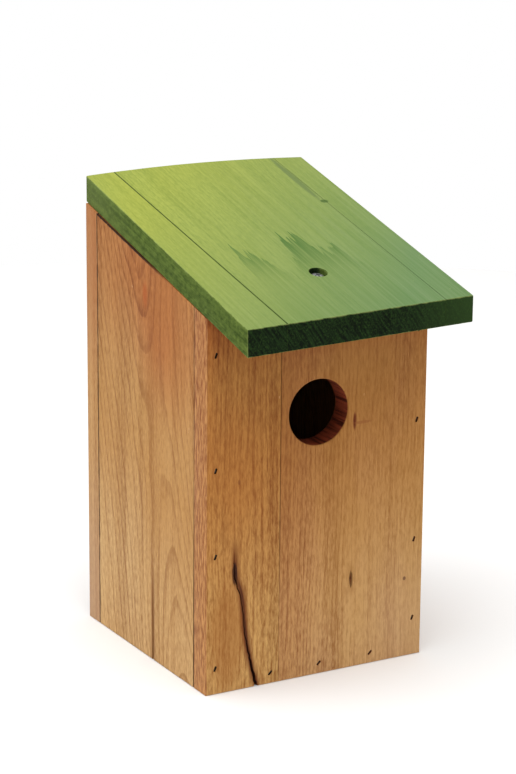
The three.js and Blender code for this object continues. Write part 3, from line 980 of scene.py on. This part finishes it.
def stave_corners(node):
    """The four corners of a stave's top face, as (x, y) pairs, at the front left and on round."""
    spots = {(round(v.co.x, 5), round(v.co.y, 5)) for v in frame["nodes"][node].data.vertices}
    front = sorted(spot for spot in spots if spot[1] < roof_low.y + 10 * mm)
    rear = sorted(spot for spot in spots if spot[1] > roof_high.y - 10 * mm)
    return front[0], front[-1], rear[-1], rear[0]


def roof_heights():
    """The heights, at y = 0, of the roof's underside and top."""
    heights = [v.co.z - v.co.y * slope for node in roof_nodes for v in frame["nodes"][node].data.vertices]
    return min(heights), max(heights)


roof_under, roof_top = roof_heights()
corners = {node: stave_corners(node) for node in roof_nodes}
front_left, front_right = corners["roof_left_stave"][0], corners["roof_right_stave"][1]
rear_right, rear_left = corners["roof_right_stave"][2], corners["roof_left_stave"][3]


def roof_stave(node):
    """A stave in plan, given its plumb thickness, eased, and then tilted to the slope and cupped."""
    made = bmesh.new()
    plan = made.faces.new([made.verts.new((x, y, 0)) for x, y in corners[node]])
    grown = bmesh.ops.extrude_face_region(made, geom=[plan])["geom"]
    raised = [item for item in grown if isinstance(item, bmesh.types.BMVert)]
    thickness = roof_top - roof_under
    bmesh.ops.translate(made, vec=(0, 0, thickness), verts=raised)
    bmesh.ops.recalc_face_normals(made, faces=made.faces)
    left, right = corners[node][0][0], corners[node][1][0]

    def on_glue_line(spot):
        near_left = abs(spot.x - (corners[node][0][0] + corners[node][3][0]) / 2) < 4 * mm
        near_right = abs(spot.x - (corners[node][1][0] + corners[node][2][0]) / 2) < 4 * mm
        glued_left = near_left and node != "roof_left_stave"
        glued_right = near_right and node != "roof_right_stave"
        return glued_left or glued_right

    ease(made, roof_arris, lambda spot: not on_glue_line(spot))
    ease(made, 0.2 * mm, lambda spot: on_glue_line(spot) and spot.z > thickness - 0.1 * mm and spot.x < 0, 1)
    width = right - left
    planes = [((left + width * k / strips_across, 0, 0), (1, 0, 0)) for k in range(1, strips_across)]
    run = roof_high.y - roof_low.y
    planes += [((0, roof_low.y + run * k / strips_along, 0), (0, 1, 0)) for k in range(1, strips_along)]
    for spot, facing in planes:
        everything = made.verts[:] + made.edges[:] + made.faces[:]
        bmesh.ops.bisect_plane(made, geom=everything, dist=1e-7, plane_co=spot, plane_no=facing)
    for vert in made.verts:
        backward = (vert.co.y - roof_low.y) / run
        sideways = 2 * (vert.co.x - roof_low.x) / (roof_high.x - roof_low.x) - 1
        cup = roof_cup * max(0.0, backward) ** 1.5 * (1 - min(1.0, abs(sideways)) ** 2)
        vert.co.z += roof_under + vert.co.y * slope + cup * vert.co.z / thickness
    return made


counterbore_radius = 4.35 * mm
counterbore_depth = 3.3 * mm
pivot_radius = 2.05 * mm
pivot_turn = roof_axis.to_track_quat("Z", "Y").to_matrix().to_4x4()
staves = {}
for node in roof_nodes:
    name = node.replace("roof_", "green_roof_")
    staves[node] = new_piece(name, roof_stave(node), "roof")
    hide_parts(node)

# how far the roof's top face is above the pivot, along the screw
to_top = (roof_top + roof_pivot.y * slope - roof_pivot.z) * roof_axis.z
seat = -counterbore_depth
rim = 0.2 * mm
drill_place = Matrix.Translation(roof_pivot + roof_axis * to_top) @ pivot_turn
counterbore = round_cutter(
    [
        (0, seat),
        (counterbore_radius, seat),
        (counterbore_radius, -rim),
        (counterbore_radius + rim, 0.05 * mm),
        (counterbore_radius + rim, past),
        (0, past),
    ],
    drill_place,
    72,
)
pivot_hole = round_cutter(
    [(0, -40 * mm), (pivot_radius, -40 * mm), (pivot_radius, seat + mm), (0, seat + mm)], drill_place, 32
)
cut(staves["roof_middle_stave"], [counterbore, pivot_hole])

# How far the soaked-up stain has run, as its tips' x and y in millimetres
wet_tips = [
    (-60, -100), (-33, -100), (-30.5, -52), (-29, -41), (-26.9, -23.6), (-25.2, -33), (-23.6, -31),
    (-21.3, -29), (-18.5, -43), (-14, -52), (-9, -58), (-5, -50), (-1.5, -37), (1.7, -20.3), (4, -27),
    (6, -24), (9.9, -15.6), (12, -28), (13.5, -39), (15.6, -32), (17.5, -40), (20, -37), (24, -33),
    (26, -47), (29, -60), (31, -100), (60, -100),
]


def seam_line(front, rear):
    """A line in plan, such as a glue line, as its x at y = 0 and its change of x along y."""
    run = (rear[0] - front[0]) / (rear[1] - front[1])
    return front[0] - front[1] * run, run


left_edge = seam_line(front_left, rear_left)
right_edge = seam_line(front_right, rear_right)
nose_edge = seam_line(front_left[::-1], front_right[::-1])
tail_edge = seam_line(rear_left[::-1], rear_right[::-1])
left_seam = seam_line(corners["roof_middle_stave"][0], corners["roof_middle_stave"][3])
right_seam = seam_line(corners["roof_middle_stave"][1], corners["roof_middle_stave"][2])


# The stain's look, which the three staves share, since they were stained after gluing
given, result = node_group(
    "green stain",
    {"Position": "Vector", "Normal": "Vector", "Pith": "Vector", "Shift": "Vector"},
    {"Color": "Color", "Height": "Float"},
)
place = given["Position"]
along_slope = (pi / 2 - atan(slope), 0, 0)
wood = use(
    "softwood", Position=turned_by(place, along_slope, given["Shift"]), Pith=given["Pith"],
    Lean=(0.03, 0.02, 0), Bend=0.0, Ring_Width=2.3 * mm, Ring_Strength=0.35,
    Pale="#929B49", Dark="#77853A", Warm="#9B9E3F", Warmth=0.4,
)
x, y, z = split(place)
colour = wood["Color"]
# cooler and deeper towards the front right, where the stain lay thicker
toward_front = x * 1.1 - y + (wood["Drift"] * 0.06 - 0.03)
deep_tone = blend(fade(wood["Fibre"], 0.3, 0.7), "#6A8157", "#5B7748")
colour = blend(clamped(toward_front * 5.0 + 0.38), colour, deep_tone)
# the spikes of soaked-up stain
across = x / 0.12 + 0.5
tips = [(0.5 + tip_x / 120, 1 + tip_y / 100) for tip_x, tip_y in wet_tips]
ragged = noise(place, (650, 14, 0), 3.0, 0.6) * 0.034 - 0.017
below = curve(across, tips, False) * 0.1 - 0.1 + ragged - y
soaked = fade(y, -66 * mm, -20 * mm) * 0.88 + 0.12
soaked = soaked * fade(below, -0.3 * mm, 1 * mm) * fade(wood["Fibre"], 0.15, 0.6)
colour = blend(soaked, colour, "#4B6833")
# stain gathers in the two glue lines, most of all in the left one
for seam, strength in ((left_seam, 0.9), (right_seam, 0.25)):
    beside = abs(x - (y * seam[1] + seam[0]))
    colour = blend(fade(beside, 0.55 * mm, 0.2 * mm) * strength, colour, "#1D3212")
# a sappy streak and a nick beside the right glue line, which the stain has greyed
colour = marked(place, colour, (0.0435, 0.037, 0.22), (0.0012, 0.017, 0.05), 0.9, "#5E6E42", 0.75)
colour = marked(place, colour, (0.0452, 0.0106, 0.22), (0.0016, 0.0012, 0.05), 0.7, "#3F5728", 0.8)
# the plumb edges, and the sawn front and rear ends, which took more stain
facing_y, facing_z = split(given["Normal"])[1:]
mottle = noise(place, (700, 260, 420), 4.0, 0.65) * 0.5 + wood["Fibre"] * 0.5
side_tone = blend(fade(mottle, 0.36, 0.64), "#5E7131", "#374919")
side_tone = blend(fade(y, 0.0, 0.06) * 0.4, side_tone, "#6E7D45")
colour = blend(fade(facing_z, 0.9, 0.55), colour, side_tone)
saw_marks = noise(turned_by(place, (0, radians(35), 0)), (900, 0, 90), 3.0, 0.6)
end_tone = blend(fade(saw_marks, 0.35, 0.7), "#070F05", "#1A2D12")
end_tone = blend(fade(x, 15 * mm, 75 * mm), end_tone, "#2A3F1C")
specks = fade(noise(place, (1100, 1100, 1100), 3.0, 0.6), 0.46, 0.74)
end_tone = blend(specks * 0.42, end_tone, "#34501F")
colour = blend(fade(abs(facing_y), 0.6, 0.9), colour, end_tone)
# the stain is rubbed thin along the arrises
from_left = x - (y * left_edge[1] + left_edge[0])
from_right = y * right_edge[1] + right_edge[0] - x
from_front = y - (x * nose_edge[1] + nose_edge[0])
from_rear = x * tail_edge[1] + tail_edge[0] - y
level = z - y * slope
rubbed = use(
    "arris wear", Position=place, Across=least(from_left, from_right),
    Through=least(level - roof_under, roof_top - level), Along=least(from_front, from_rear), Width=0.8 * mm,
)["Mask"]
give(result, Color=blend(rubbed * 0.32, colour, "#A9B66C"), Height=wood["Height"])

for node, pith, shift in (
    ("roof_left_stave", (-0.09, 0.10, 0.0), 0.13),
    ("roof_middle_stave", (0.03, 0.16, 0.0), 0.57),
    ("roof_right_stave", (0.12, 0.08, 0.0), 0.91),
):
    shader, place, normal = new_material("green stain, " + node, staves[node])
    stained = use("green stain", Position=place, Normal=normal, Pith=pith, Shift=(shift, shift, shift))
    finish_wood(shader, stained["Color"], stained["Height"], place, 0.7, 0.15 * mm, 0.08)

# ----------------------------------------------------------------------
# The roof screw: a zinc-plated pan-head wood screw at the bottom of its counterbore. It is driven into the
# front panel's top edge, square to the roof, and the roof turns on its shank.

roof_screw_head = 3.6 * mm
roof_screw_shank = 1.75 * mm
roof_screw_length = 18 * mm  # below its head
roof_screw_cross = (4.2 * mm, 1 * mm, 1.2 * mm)  # the length, width and depth of each arm
head = [(roof_screw_shank, 0), (roof_screw_head, 0), (roof_screw_head, 0.8 * mm)]
head += [(3.35 * mm, 1.3 * mm), (2.6 * mm, 1.75 * mm), (1.5 * mm, 2.02 * mm), (0, 2.1 * mm)]
screw_rise = to_top - counterbore_depth + 0.05 * mm  # the head rests just above the counterbore's floor
roof_screw = wood_screw(
    "roof_screw", "roof_swivel_screw", head, roof_screw_shank, roof_screw_length, roof_screw_cross,
    Matrix.Translation(roof_pivot + roof_axis * screw_rise) @ pivot_turn,
)
metal("zinc plate on the roof screw", roof_screw, *zinc_look)
